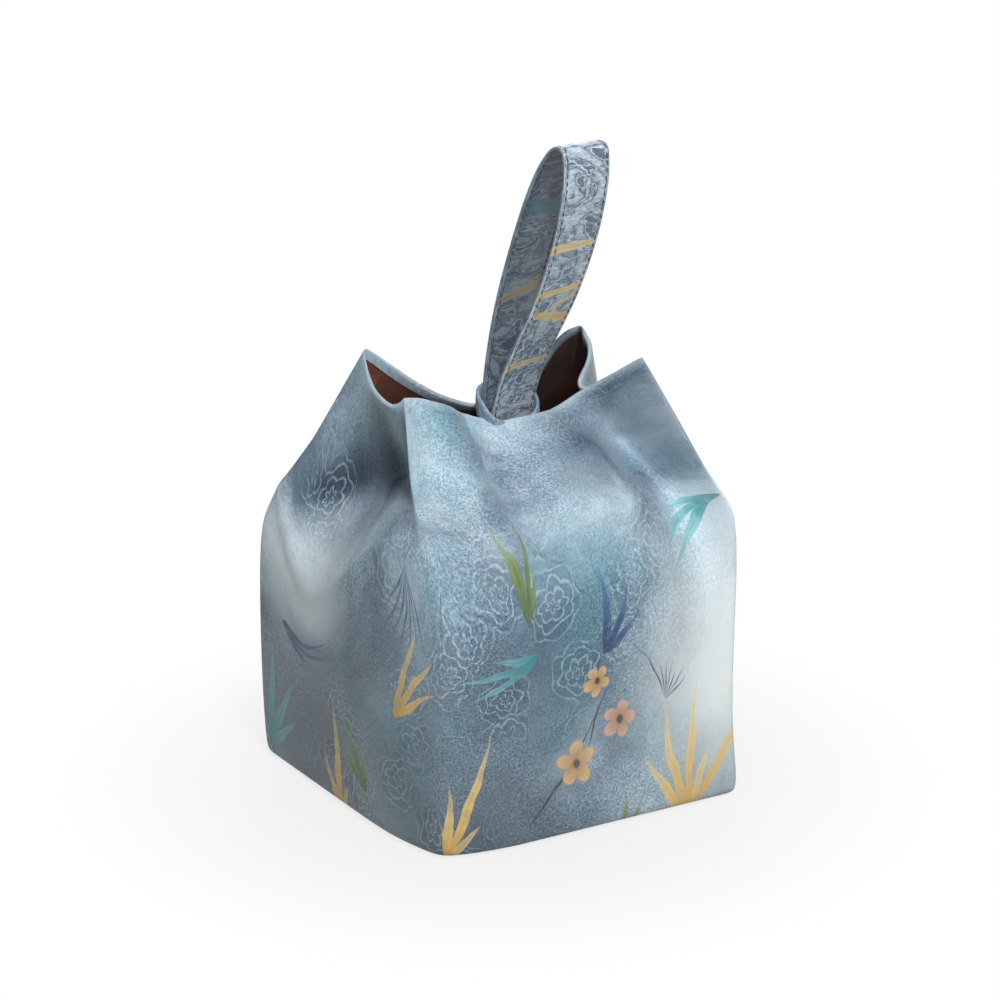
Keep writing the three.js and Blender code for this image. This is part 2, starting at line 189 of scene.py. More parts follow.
def finish_mesh(name, shape):
    mesh = bpy.data.meshes.new(name)
    shape.to_mesh(mesh)
    shape.free()
    mesh.shade_smooth()
    return put_in_scene(name, mesh)


floor_shape = bmesh.new()
bmesh.ops.create_grid(floor_shape, x_segments=1, y_segments=1, size=FLOOR_HALF_WIDTH)
floor = finish_mesh("floor", floor_shape)
floor.location.z = FLOOR_LEVEL
# Matte paper: pale grey to the lamps, so that it keeps the bag's shadow, and white to the eye further out
floor_material, floor_tree, floor_shader = new_material("pale_floor")
floor_place = add_node(floor_tree, "TexCoord", {}).outputs["Object"]
floor_reach = add_node(floor_tree, "VectorMath", {"operation": "LENGTH", 0: floor_place})
floor_fade = ramp(floor_tree, floor_reach, SHADOW_START, SHADOW_END, low=SHADOW_WHITE, kind="SMOOTHSTEP")
ray = add_node(floor_tree, "LightPath", {}).outputs
seen = calculate(floor_tree, "MAXIMUM", ray["Is Camera Ray"], ray["Is Glossy Ray"])
seen_at_all = calculate(floor_tree, "MAXIMUM", seen, ray["Is Transmission Ray"])
white_share = calculate(floor_tree, "MULTIPLY", seen_at_all, floor_fade)
white = add_node(floor_tree, "Emission", {"Color": (1, 1, 1, 1), "Strength": 1.0})
floor_mix = add_node(floor_tree, "MixShader", {0: white_share, 1: floor_shader, 2: white})
set_node(floor_tree, floor_shader, {"Base Color": linear("#A2A2A0"), "Roughness": 0.9})
set_node(floor_tree, floor_tree.nodes["Material Output"], {"Surface": floor_mix})
floor.data.materials.append(floor_material)
floor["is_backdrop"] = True


# Outer printed cloth
# The wall is one length of printed cotton satin, sewn into a square tube and backed with wadding. It is
# turned under at the base seam, folded in towards the keeper and hemmed by turning its top edge over.
BAG_WIDTH = 155.0
BAG_DEPTH = 149.0
WALL_HEIGHT = 205.0
PERIMETER = 2 * (BAG_WIDTH + BAG_DEPTH)
# Each fold line, in millimetres: its place along the base edge from the near corner, then its points at the
# shoulder, the crease, the knee and the rim
FOLD_LINES = [
    (-149.0, (-80.5, 77, 112), (-73.5, 71, 136), (-60.5, 59, 160), (-43.5, 43, 199.5)),
    (-130.0, (-79, 56, 90), (-76.5, 57, 112), (-63, 59, 126), (-46.5, 36, 190)),
    (-110.0, (-79, 35, 64), (-79, 36, 88), (-48, 45, 130), (-51, 25, 186.5)),
    (-78.0, (-79.5, 3, 86), (-79.5, 2, 111), (-38, 26, 139), (-54, 12, 184.5)),
    (-40.0, (-79.5, -34, 98), (-75, -19, 137), (-34, 14, 150), (-52, 3.5, 182)),
    (0.0, (-75, -73, 96), (-68, -43, 139), (-59, -20, 159), (-49, -0.5, 188)),
    (22.0, (-55, -77, 97), (-53, -58, 132), (-48, -29, 159), (-40, -3, 188)),
    (40.0, (-38, -80, 99), (-38, -66, 134), (-34, -36, 158), (-27, -6, 181.5)),
    (52.0, (-27, -79, 101), (-26, -62, 134), (-21, -23, 155), (-17, 1, 175.5)),
    (67.0, (-12, -79, 105), (-12, -61, 137), (-11, -35, 156), (-9, -8.5, 173)),
    (78.0, (1, -79, 107), (1, -61, 139), (1, -36, 156), (1.5, -10, 172.5)),
    (90.0, (14, -79, 109), (14, -62, 141), (13, -38, 158), (12, -10.5, 173)),
    (116.0, (39, -80, 116), (33, -67, 145), (26, -45, 162), (19, -14, 174.5)),
    (136.0, (62, -70, 116), (63, -32, 136), (54, -10, 154), (37, -17, 181)),
    (155.0, (79.5, -76.5, 130), (72.5, -66.5, 149), (63.5, -55, 171), (51, -40.5, 200.5)),
    (193.0, (78, -38, 108), (78, -34, 126), (71, -25, 152), (57, -18, 186)),
    (229.0, (78, 0, 90), (71, 0, 108), (54, -1, 142), (36, -3, 173)),
    (267.0, (78, 38, 106), (76, 32, 124), (71, 20, 157), (56, 4, 189.5)),
    (304.0, (78, 75, 124), (77, 66, 142), (73, 46, 168), (58, 20, 198)),
    (324.0, (59, 76, 121), (57, 63, 142), (52, 41, 168), (40, 13, 199)),
    (344.0, (38, 77, 116), (36, 60, 140), (31, 34, 160), (22, 9.5, 178)),
    (380.0, (0, 78, 110), (0, 60, 137), (0, 34, 156), (1.5, 9, 171)),
    (420.0, (-40, 77, 112), (-38, 66, 136), (-31, 44, 162), (-22, 18, 180)),
]

# The base is a slightly skewed square whose near corner is worn round. The foot of each fold line goes
# through these steps, each an inset from the base edge and a height.
BASE_CORNERS = [(-80.5, -70.5), (77.5, -79.5), (79.5, 72.0), (-76.8, 79.0)]
SIDE_LENGTHS = [BAG_WIDTH, BAG_DEPTH, BAG_WIDTH, BAG_DEPTH]
BASE_STEPS = [(14.0, 0.0), (4.0, 0.0), (0.4, 0.6), (-0.4, 8.0), (-1.4, 42.0)]
NEAR_ROUNDING = 30.0
NEAR_WEAR = 0.45


def edge_place(along):
    along %= PERIMETER
    side = 0
    while along > SIDE_LENGTHS[side]:
        along -= SIDE_LENGTHS[side]
        side += 1
    share = along / SIDE_LENGTHS[side]
    start = np.array(BASE_CORNERS[side])
    end = np.array(BASE_CORNERS[(side + 1) % 4])
    return start + share * (end - start)


def base_place(along, inset):
    offset = (along + PERIMETER / 2) % PERIMETER - PERIMETER / 2
    place = edge_place(along)
    if abs(offset) < NEAR_ROUNDING:
        chord = 0.5 * (edge_place(NEAR_ROUNDING) + edge_place(-NEAR_ROUNDING))
        place = place + NEAR_WEAR * (1 - abs(offset) / NEAR_ROUNDING) * (chord - edge_place(0))
    return place * (1 - 2 * inset / BAG_DEPTH)


# A crease is sharp where the points beside it are near, at a small share of the way to the next point. The
# right front corner leans in a little above the base.
CREASE_SHARES = {-130.0: 0.46, -110.0: 0.30, -78.0: 0.06, -40.0: 0.05}
USUAL_CREASE_SHARE = 0.14
KNEE_SHARE = 0.18
CORNER_LEAN = 0.055
CORNER_LEAN_REACH = 26.0


def control_column(line):
    along, *marks = line
    shoulder, crease, knee, rim = (np.array(mark, float) for mark in marks)
    near = CREASE_SHARES.get(along, USUAL_CREASE_SHARE)
    foot = [np.array((*base_place(along, inset), height)) for inset, height in BASE_STEPS]
    foot[-1][:2] *= 1 - CORNER_LEAN * math.exp(-((along - BAG_WIDTH) / CORNER_LEAN_REACH) ** 2)
    fold = [
        shoulder,
        0.5 * (shoulder + crease),
        near * shoulder + (1 - near) * crease,
        crease,
        (1 - near) * crease + near * knee,
        0.5 * (crease + knee),
        KNEE_SHARE * crease + (1 - KNEE_SHARE) * knee,
        knee,
        (1 - KNEE_SHARE) * knee + KNEE_SHARE * rim,
        0.5 * (knee + rim),
        rim,
    ]
    return np.array(foot + fold)


# Corner folds are tight at the rim and soft at the base, so each gets a close neighbour on both sides, at
# one share of the way to the next line up to the shoulder and at another at the rim
CORNER_SHARES = {
    -149.0: (0.26, 0.33), 0.0: (0.5, 0.08), 52.0: (0.5, 0.13),
    116.0: (0.5, 0.26), 155.0: (0.26, 0.30), 304.0: (0.26, 0.38),
}
SHOULDER_ROW = 5
PAST_CREASE_ROW = 9
PAST_CREASE_SPREAD = 1.6
columns = []
places = []
for index, line in enumerate(FOLD_LINES):
    place = line[0]
    column = control_column(line)
    if place not in CORNER_SHARES:
        columns.append(column)
        places.append(place)
        continue
    before = FOLD_LINES[index - 1]
    after = FOLD_LINES[(index + 1) % len(FOLD_LINES)]
    low, high = CORNER_SHARES[place]
    rows = [0, SHOULDER_ROW, PAST_CREASE_ROW, len(column) - 1]
    row_shares = [low, low, high * PAST_CREASE_SPREAD, high]
    shares = np.interp(np.arange(len(column)), rows, row_shares)[:, None]
    columns.append(column + shares * (control_column(before) - column))
    columns.append(column)
    columns.append(column + shares * (control_column(after) - column))
    gap_before = (place - before[0]) % PERIMETER
    gap_after = (after[0] - place) % PERIMETER
    places += [place - low * gap_before, place, place + low * gap_after]
control = np.array(columns).transpose(1, 0, 2)


# A cubic B-spline along the first axis of an array of points
def spline_rows(points, samples, closed):
    if closed:
        padded = np.concatenate([points[-1:], points, points[:2]])
        spans = len(points)
    else:
        padded = np.concatenate([2 * points[:1] - points[1:2], points, 2 * points[-1:] - points[-2:-1]])
        spans = len(points) - 1
    rows = []
    for span in range(spans):
        for step in range(samples):
            t = step / samples
            weights = (
                (1 - t) ** 3,
                3 * t ** 3 - 6 * t ** 2 + 4,
                -3 * t ** 3 + 3 * t ** 2 + 3 * t + 1,
                t ** 3,
            )
            rows.append(sum(w * padded[span + k] for k, w in enumerate(weights)) / 6)
    if not closed:
        rows.append(points[-1].copy())
    return np.array(rows)


WALL_SAMPLES = 6
wall = spline_rows(control, WALL_SAMPLES, False)
wall = spline_rows(wall.transpose(1, 0, 2), WALL_SAMPLES, True).transpose(1, 0, 2) / 1000
row_count, column_count = wall.shape[:2]
all_round = places + [places[0] + PERIMETER]
column_steps = np.arange(column_count + 1) / WALL_SAMPLES
wall_along = np.interp(column_steps, np.arange(len(all_round)), all_round) / 1000
row_lengths = np.linalg.norm(np.diff(wall, axis=0), axis=2).mean(axis=1)
wall_up = np.concatenate([[0], np.cumsum(row_lengths)])
wall_up *= WALL_HEIGHT / 1000 / wall_up[-1]


# Bends a flat grid round into a band, with a map in metres along and up the cloth
def loft(name, grid, along, up):
    rows, columns = grid.shape[:2]
    shell = bmesh.new()
    cloth_map = shell.loops.layers.uv.new("cloth")
    bmesh.ops.create_grid(shell, x_segments=columns, y_segments=rows - 1, size=0.5)
    for vertex in shell.verts:
        column = round((vertex.co.x + 0.5) * columns)
        row = round((vertex.co.y + 0.5) * (rows - 1))
        for loop in vertex.link_loops:
            loop[cloth_map].uv = (along[column], up[row])
        vertex.co = grid[row, column % columns]
    bmesh.ops.remove_doubles(shell, verts=shell.verts, dist=0.000001)
    return finish_mesh(name, shell)


def grid_normals(grid):
    across = np.roll(grid, -1, axis=1) - np.roll(grid, 1, axis=1)
    upward = np.gradient(grid, axis=0)
    normals = np.cross(across, upward)
    return normals / np.linalg.norm(normals, axis=2, keepdims=True)


# The cloth is rumpled: broad shallow dents low down, and finer upright puckers towards the gathered mouth.
# Both die out at the base and beside the corner folds, where they have no room.
CORNER_OPENNESS = {-149.0: 0.28, 0.0: 1.0, 155.0: 1.0, 304.0: 1.0}
DENTS_PER_METRE = np.array((26.0, 26.0, 22.0))
DENT_DEPTH = 0.0011
PUCKERS_PER_METRE = np.array((95.0, 95.0, 30.0))
PUCKER_SHIFT = np.array((7.0, 0.0, 0.0))
PUCKER_DEPTH = 0.0003
MOUTH_PUCKER_DEPTH = 0.0009
GATHER_START = 0.09
GATHER_REACH = 0.08
CALM_BASE = 0.02
CALM_FOLD = 0.002
CALM_FOLD_REACH = 0.022
wall_run = np.linalg.norm(np.roll(wall, -1, axis=1) - wall, axis=2)
fold_room = np.full((row_count, column_count), 1.0)
for place, openness in CORNER_OPENNESS.items():
    corner = WALL_SAMPLES * places.index(place)
    ahead = openness * np.cumsum(np.roll(wall_run, -corner, axis=1), axis=1)
    total = ahead[:, -1:]
    ahead = np.concatenate([np.zeros((row_count, 1)), ahead[:, :-1]], axis=1)
    fold_room = np.minimum(fold_room, np.roll(np.minimum(ahead, total - ahead), corner, axis=1))
gathered = np.clip((wall[:, :, 2] - GATHER_START) / GATHER_REACH, 0, 1)
pucker_depth = PUCKER_DEPTH + MOUTH_PUCKER_DEPTH * gathered
rumples = np.zeros((row_count, column_count))
for spot in np.ndindex(row_count, column_count):
    dent = noise.noise(Vector(wall[spot] * DENTS_PER_METRE))
    pucker = noise.noise(Vector(wall[spot] * PUCKERS_PER_METRE + PUCKER_SHIFT))
    rumples[spot] = DENT_DEPTH * dent + pucker_depth[spot] * pucker
rumples *= np.clip(wall[:, :, 2] / CALM_BASE, 0, 1)
rumples *= np.clip((fold_room - CALM_FOLD) / CALM_FOLD_REACH, 0, 1)
wall += grid_normals(wall) * rumples[:, :, None]

# The top edge is turned over: the cloth rolls inwards and ends a little way down inside. It is pressed
# thinner in the corner folds.
HEM_THICKNESS = 0.0024
HEM_DROP = 0.0035
HEM_TURNS = (40, 80, 120, 160)
HEM_TURN_LENGTH = 0.0008
HEM_LENGTH = 0.0065
PRESSED_DEPTH = 0.0004
PRESSED_SHARE = 0.42
wall_out = grid_normals(wall)
cloth_depth = np.minimum(HEM_THICKNESS, PRESSED_DEPTH + PRESSED_SHARE * fold_room)[:, :, None]
rim = wall[-1]
rim_depth = cloth_depth[-1]
rim_in = -wall_out[-1]
rim_up = wall[-1] - wall[-3]
rim_up /= np.linalg.norm(rim_up, axis=1, keepdims=True)
hem_rows = []
hem_up = []
for step, degrees in enumerate(HEM_TURNS, start=1):
    turn = math.radians(degrees)
    roll_in = rim_in * rim_depth / 2 * (1 - math.cos(turn))
    roll_up = rim_up * HEM_THICKNESS / 2 * math.sin(turn)
    hem_rows.append(rim + roll_in + roll_up)
    hem_up.append(wall_up[-1] + step * HEM_TURN_LENGTH)
hem_rows.append(rim + rim_in * rim_depth - rim_up * HEM_DROP)
hem_up.append(wall_up[-1] + HEM_LENGTH)
outer_up = np.concatenate([wall_up, hem_up])
outer = loft("outer_cloth", np.concatenate([wall, np.array(hem_rows)]), wall_along, outer_up)


def soften(thing):
    smoothing = thing.modifiers.new("smooth", "SUBSURF")
    smoothing.levels = 1
    smoothing.render_levels = 1


soften(outer)

# Ground of the print, dyed like a watercolour: grey-blue clouds with a teal cast here and there and, where
# the cloth is cut for the strap, veins like those of marbled paper. Sizes of patterns are in millimetres.
CLOUD_SIZE = 62.5
CAST_SIZE = 45.45
MARBLE_SIZE = 13.333
VEIN_CORE = 0.004
TURN = 2 * math.pi


def print_layer(name, inputs, outputs):
    layer = bpy.data.node_groups.new(name, "ShaderNodeTree")
    for in_out, sockets in (("INPUT", inputs), ("OUTPUT", outputs)):
        for socket, kind in sockets.items():
            layer.interface.new_socket(name=socket, in_out=in_out, socket_type="NodeSocket" + kind)
    return layer, layer.nodes.new("NodeGroupInput").outputs


def finish_layer(layer, results):
    set_node(layer, layer.nodes.new("NodeGroupOutput"), results)


ground, given = print_layer("print_ground", {"Place": "Vector", "Marbling": "Float"}, {"Colour": "Color"})
cloud = patches(ground, given["Place"], CLOUD_SIZE, 3.0, distortion=0.5)
cloud_share = ramp(ground, cloud, 0.36, 0.64)
clouded = mix(ground, cloud_share, linear("#52677A"), linear("#A2B8C5"))
cast = patches(ground, given["Place"], CAST_SIZE, 2.0, seed=3.0)
cast_share = ramp(ground, cast, 0.48, 0.68, high=0.6)
tinted = mix(ground, cast_share, clouded, linear("#5E98A4"))
marble = patches(ground, given["Place"], MARBLE_SIZE, 3.0, seed=9.0, distortion=2.2)
marble_share = ramp(ground, marble, 0.38, 0.62)
marble_colour = mix(ground, marble_share, linear("#4C5D72"), linear("#C6D2DC"))
veined = mix(ground, given["Marbling"], tinted, marble_colour)
for level, half_width, colour in ((0.5, 0.022, "#2F3B49"), (0.43, 0.020, "#DCE4EA")):
    vein_offset = calculate(ground, "SUBTRACT", marble, level)
    vein_distance = calculate(ground, "ABSOLUTE", vein_offset)
    vein = ramp(ground, vein_distance, half_width, VEIN_CORE)
    vein_amount = calculate(ground, "MULTIPLY", vein, given["Marbling"])
    veined = mix(ground, vein_amount, veined, linear(colour))
finish_layer(ground, {"Colour": veined})

# Tone-on-tone damask printed over the ground: many-petalled rosettes that come and go in patches, and thin
# crossing twigs, all swayed a little.
SWAY_SIZE = 14.286
SWAY = 0.012
ROSETTE_PITCH = 29.41
ROSETTE_REACH = (0.0150, 0.0120)
PETAL_RING = 0.0036
DAMASK_PATCH_SIZE = 66.67
TWIG_PITCH = 20.833
TWIG_PATCH_SIZE = 45.45


# The angle and the reach of a place, seen from the middle of a motif
def polar(layer, offset):
    axes = add_node(layer, "SeparateXYZ", {0: offset}).outputs
    angle = calculate(layer, "ARCTAN2", axes["Y"], axes["X"])
    reach = add_node(layer, "VectorMath", {"operation": "LENGTH", 0: offset})
    return angle, reach


damask, given = print_layer(
    "damask", {"Under": "Color", "Place": "Vector"}, {"Colour": "Color", "Relief": "Float"})
warped = patches(damask, given["Place"], SWAY_SIZE, 1.0, seed=5.0)
swayed = add_node(damask, "VectorMath", {
    "operation": "MULTIPLY_ADD", 0: warped.outputs["Color"], 1: (SWAY, SWAY, 0), 2: given["Place"]})
cell = add_node(damask, "TexVoronoi", {
    "voronoi_dimensions": "2D", "Scale": 1000 / ROSETTE_PITCH, "Randomness": 0.7, "Vector": swayed})
from_heart = add_node(damask, "VectorMath", {"operation": "SUBTRACT", 0: swayed, 1: cell.outputs["Position"]})
heart_angle, heart_reach = polar(damask, from_heart)
petal_rings = calculate(damask, "DIVIDE", heart_reach, PETAL_RING)
ring_number = calculate(damask, "FLOOR", petal_rings)
ring_share = calculate(damask, "FRACT", petal_rings)
ring_turn = calculate(damask, "MULTIPLY", ring_number, 1.9)
petal_turn = calculate(damask, "MULTIPLY_ADD", heart_angle, 3.0, ring_turn)
petal_wave = calculate(damask, "SINE", petal_turn)
petal_lobe = calculate(damask, "ABSOLUTE", petal_wave)
petal_edge = calculate(damask, "MULTIPLY_ADD", petal_lobe, 0.55, 0.3)
off_edge = calculate(damask, "SUBTRACT", ring_share, petal_edge)
edge_distance = calculate(damask, "ABSOLUTE", off_edge)
scroll_line = ramp(damask, edge_distance, 0.20, 0.06)
rosette = ramp(damask, heart_reach, *ROSETTE_REACH)
damask_patch = patches(damask, given["Place"], DAMASK_PATCH_SIZE, 1.0, seed=11.0)
damask_amount = ramp(damask, damask_patch, 0.42, 0.56, high=0.33)
rosette_amount = calculate(damask, "MULTIPLY", rosette, damask_amount)
damask_line = calculate(damask, "MULTIPLY", rosette_amount, scroll_line)
shaded = mix(damask, rosette_amount, given["Under"], linear("#B4BFCB"), blend="MULTIPLY")
figured = mix(damask, damask_line, shaded, linear("#C3D2DB"))
twig = add_node(damask, "TexVoronoi", {
    "voronoi_dimensions": "2D", "feature": "DISTANCE_TO_EDGE", "Scale": 1000 / TWIG_PITCH, "Vector": swayed})
twig_line = ramp(damask, twig, 0.035, 0.008)
twig_spread = patches(damask, given["Place"], TWIG_PATCH_SIZE, 2.0, seed=3.0)
twig_patch = ramp(damask, twig_spread, 0.50, 0.62, high=0.30)
twig_amount = calculate(damask, "MULTIPLY", twig_line, twig_patch)
twigged = mix(damask, twig_amount, figured, linear("#8497A6"), blend="MULTIPLY")
finish_layer(damask, {"Colour": twigged, "Relief": damask_line})

# Flecks of the satin, about a millimetre wide, that darken and lighten whatever is printed there, in patches
FLECK_SIZE = 0.9524
FLECK_PATCH_SIZE = 40.0
flecks, given = print_layer("satin_flecks", {
    "Under": "Color", "Place": "Vector", "Amount": "Float"}, {"Colour": "Color", "Relief": "Float"})
fleck = patches(flecks, given["Place"], FLECK_SIZE, 2.0, roughness=0.6, distortion=0.6)
fleck_share = ramp(flecks, fleck, 0.38, 0.62)
fleck_colour = mix(flecks, fleck_share, linear("#69727B"), linear("#F0F2F1"))
fleck_patch = patches(flecks, given["Place"], FLECK_PATCH_SIZE, 2.0, seed=7.0)
fleck_spread = ramp(flecks, fleck_patch, 0.36, 0.60, low=0.30)
fleck_amount = calculate(flecks, "MULTIPLY", fleck_spread, given["Amount"])
flecked = mix(flecks, fleck_amount, given["Under"], fleck_colour, blend="OVERLAY")
finish_layer(flecks, {"Colour": flecked, "Relief": fleck_share})

# A spray of long pointed leaves, printed over the cloth: the leaves fan out from one point, bend to one
# side, shade from root to tip and have a thin darker rib
BLEED_SIZE = 6.25


# A place on the cloth as the motif has it, from its centre and along its own turn
def from_motif(layer, given):
    offset = add_node(layer, "VectorMath", {"operation": "SUBTRACT", 0: given["Place"], 1: given["Centre"]})
    return add_node(layer, "VectorRotate", {
        "rotation_type": "Z_AXIS", "invert": True, "Vector": offset, "Angle": given["Turn"]})


leaf_spray, given = print_layer("leaf_spray", {
    "Under": "Color", "Place": "Vector", "Centre": "Vector", "Turn": "Float", "Side Leaves": "Float",
    "Step": "Float", "Length": "Float", "Breadth": "Float", "Bend": "Float", "Root": "Color", "Tip": "Color",
}, {"Colour": "Color"})
angle, reach = polar(leaf_spray, from_motif(leaf_spray, given))
steps = calculate(leaf_spray, "DIVIDE", angle, given["Step"])
whole_steps = calculate(leaf_spray, "ROUND", steps)
least = calculate(leaf_spray, "MULTIPLY", given["Side Leaves"], -1.0)
leaf_number = add_node(leaf_spray, "Clamp", {"Value": whole_steps, "Min": least, "Max": given["Side Leaves"]})
leaf_turn = calculate(leaf_spray, "MULTIPLY", leaf_number, given["Step"])
off_axis = calculate(leaf_spray, "SUBTRACT", angle, leaf_turn)
off_cosine = calculate(leaf_spray, "COSINE", off_axis)
off_sine = calculate(leaf_spray, "SINE", off_axis)
lengthwise = calculate(leaf_spray, "MULTIPLY", reach, off_cosine)
sideways = calculate(leaf_spray, "MULTIPLY", reach, off_sine)
leaf_draw = add_node(leaf_spray, "TexWhiteNoise", {"noise_dimensions": "2D", "Vector": given["Centre"]})
leaf_mixed = calculate(leaf_spray, "MULTIPLY_ADD", leaf_number, 2.7, leaf_draw)
leaf_wave = calculate(leaf_spray, "SINE", leaf_mixed)
leaf_scale = calculate(leaf_spray, "MULTIPLY_ADD", leaf_wave, 0.34, 0.66)
leaf_length = calculate(leaf_spray, "MULTIPLY", leaf_scale, given["Length"])
share = add_node(leaf_spray, "Math", {
    "operation": "DIVIDE", "use_clamp": True, 0: lengthwise, 1: leaf_length})
squared = calculate(leaf_spray, "MULTIPLY", lengthwise, lengthwise)
bend_off = calculate(leaf_spray, "MULTIPLY", squared, given["Bend"])
from_rib = calculate(leaf_spray, "SUBTRACT", sideways, bend_off)
rib_distance = calculate(leaf_spray, "ABSOLUTE", from_rib)
fullness = calculate(leaf_spray, "POWER", share, 0.6)
half_turn = calculate(leaf_spray, "MULTIPLY", fullness, TURN / 2)
swell = calculate(leaf_spray, "SINE", half_turn)
half_breadth = calculate(leaf_spray, "MULTIPLY", swell, given["Breadth"])
inside = calculate(leaf_spray, "SUBTRACT", half_breadth, rib_distance)
leaf_mask = ramp(leaf_spray, inside, 0.00005, 0.0006, kind="SMOOTHSTEP")
bleed = patches(leaf_spray, given["Place"], BLEED_SIZE, 2.0)
bleed_share = ramp(leaf_spray, bleed, 0.3, 0.6, low=0.6, high=0.95)
tip_fade = ramp(leaf_spray, share, 1.0, 0.45, low=0.35)
inked_amount = calculate(leaf_spray, "MULTIPLY", leaf_mask, bleed_share)
leaf_amount = calculate(leaf_spray, "MULTIPLY", inked_amount, tip_fade)
leaf_colour = mix(leaf_spray, share, given["Root"], given["Tip"])
rib_share = ramp(leaf_spray, rib_distance, 0.0005, 0.0001, high=0.45)
ribbed = mix(leaf_spray, rib_share, leaf_colour, given["Root"])
with_leaves = mix(leaf_spray, leaf_amount, given["Under"], ribbed)
finish_layer(leaf_spray, {"Colour": with_leaves})

# A five-petalled blossom with fine streaks, a dark heart and a thin ink outline
blossom, given = print_layer("blossom", {
    "Under": "Color", "Place": "Vector", "Centre": "Vector", "Turn": "Float", "Radius": "Float",
    "Petal": "Color",
}, {"Colour": "Color"})
angle, reach = polar(blossom, from_motif(blossom, given))
petal_angle = calculate(blossom, "MULTIPLY", angle, 2.5)
petal_wave = calculate(blossom, "COSINE", petal_angle)
petal_lobe = calculate(blossom, "ABSOLUTE", petal_wave)
petal_round = calculate(blossom, "POWER", petal_lobe, 0.5)
petal_edge = calculate(blossom, "MULTIPLY_ADD", petal_round, 0.62, 0.38)
share = calculate(blossom, "DIVIDE", reach, given["Radius"])
inside = calculate(blossom, "SUBTRACT", petal_edge, share)
petal_mask = ramp(blossom, inside, 0.0, 0.07, high=0.78)
ink = ramp(blossom, inside, 0.12, 0.06, high=0.4)
petal_colour = mix(blossom, share, linear("#AC7440"), given["Petal"])
streak_angle = calculate(blossom, "MULTIPLY", angle, 35.0)
streak_wave = calculate(blossom, "SINE", streak_angle)
streak = ramp(blossom, streak_wave, 0.0, 1.0, high=0.3)
heart = ramp(blossom, share, 0.24, 0.14)
for mark, colour in ((streak, "#C08A4A"), (ink, "#6B4A2A"), (heart, "#43301F")):
    petal_colour = mix(blossom, mark, petal_colour, linear(colour))
with_blossom = mix(blossom, petal_mask, given["Under"], petal_colour)
finish_layer(blossom, {"Colour": with_blossom})

# Places of the print on the wall, in metres along the base edge from the near corner and up the cloth. A
# spray has its root, turn in degrees, leaves beside the middle one, step in degrees, length, half breadth,
# bend and colours. The print repeats once round the bag.
OCHRE = ("#CBA04A", "#F3DFA0")
TEAL = ("#2F7F86", "#8CCBCB")
NAVY = ("#22324F", "#3F6FA3")
OLIVE = ("#4A5C2C", "#8FA35A")
TWIG = ("#3E342B", "#5A4B3C")
INK = ("#46566A", "#6F8296")
WALL_SPRAYS = [
    ((-0.142, 0.022), 50, 1, 22, 0.074, 0.0030, 3, TEAL),
    ((-0.128, 0.094), 12, 1, 18, 0.070, 0.0024, -4, NAVY),
    ((-0.078, 0.010), 84, 1, 23, 0.066, 0.0028, 3, OCHRE),
    ((-0.052, 0.030), 128, 1, 19, 0.060, 0.0024, -3, OLIVE),
    ((0.006, 0.014), 58, 1, 21, 0.074, 0.0027, 3, OCHRE),
    ((0.052, 0.104), 196, 1, 16, 0.070, 0.0023, -4, TEAL),
    ((0.098, 0.006), 60, 1, 24, 0.036, 0.0020, 5, OLIVE),
    ((0.046, 0.022), 40, 0, 30, 0.100, 0.0010, 4, TWIG),
    ((0.078, 0.051), 84, 0, 30, 0.050, 0.0008, -6, TWIG),
    ((0.131, 0.012), 96, 2, 19, 0.086, 0.0027, -3, OCHRE),
    ((0.156, 0.132), 186, 1, 16, 0.064, 0.0024, 4, TEAL),
    ((0.084, 0.092), 58, 1, 26, 0.048, 0.0022, 4, NAVY),
    ((0.046, 0.118), 74, 1, 17, 0.066, 0.0022, 5, OLIVE),
    ((-0.030, 0.074), 62, 1, 19, 0.074, 0.0024, -4, OCHRE),
    ((0.116, 0.064), 66, 3, 13, 0.064, 0.0008, 9, INK),
    ((-0.020, 0.134), 262, 3, 13, 0.090, 0.0009, -5, INK),
]
# A wash has its middle, radius, strength and colour; a blossom its middle, turn, radius and colour.
# Some of the dark and pale patches are painted shade and painted light, as marked below.
DARK_WASHES_AND_PAINTED_SHADE = [
    ((0.024, 0.095), 0.062, 0.66, "#3C5166"),
    ((0.076, 0.112), 0.045, 0.55, "#3F6678"),
    # These two darken the foot of the left and front walls: partly dark print, partly painted shade of the
    # lower walls
    ((-0.100, 0.040), 0.105, 0.85, "#4A5660"),
    ((0.020, 0.015), 0.105, 0.78, "#4A5863"),
    ((-0.046, 0.112), 0.036, 0.60, "#4A6472"),
    # Painted shade from here on: the hollow under the right ear, then the fold under the left ear
    ((0.108, 0.183), 0.050, 0.95, "#30455B"),
    ((0.141, 0.160), 0.022, 0.50, "#4A6076"),
    ((-0.104, 0.176), 0.032, 0.95, "#22364A"),
    ((-0.072, 0.175), 0.038, 0.96, "#24384A"),
    ((-0.124, 0.170), 0.028, 0.90, "#263B50"),
    ((-0.141, 0.156), 0.024, 0.75, "#2E4358"),
]
PALE_WASHES_AND_PAINTED_LIGHT = [
    ((0.154, 0.068), 0.078, 0.96, "#E0E8E8"),
    # Painted light from here on: the facets below the left fold that face the lamp, then the lit band along
    # the right edge
    ((-0.105, 0.132), 0.040, 0.82, "#D0DADE"),
    ((-0.134, 0.124), 0.036, 0.78, "#D0DADE"),
    ((0.156, 0.122), 0.036, 0.70, "#C6D4DC"),
    ((0.156, 0.172), 0.032, 0.85, "#B9C8D5"),
]
WALL_BLOSSOMS = [
    ((0.072, 0.048), 20, 0.0105, "#E6C48A"),
    ((0.092, 0.062), 75, 0.0088, "#DDB9A8"),
    ((0.080, 0.082), 50, 0.0066, "#E6C48A"),
]

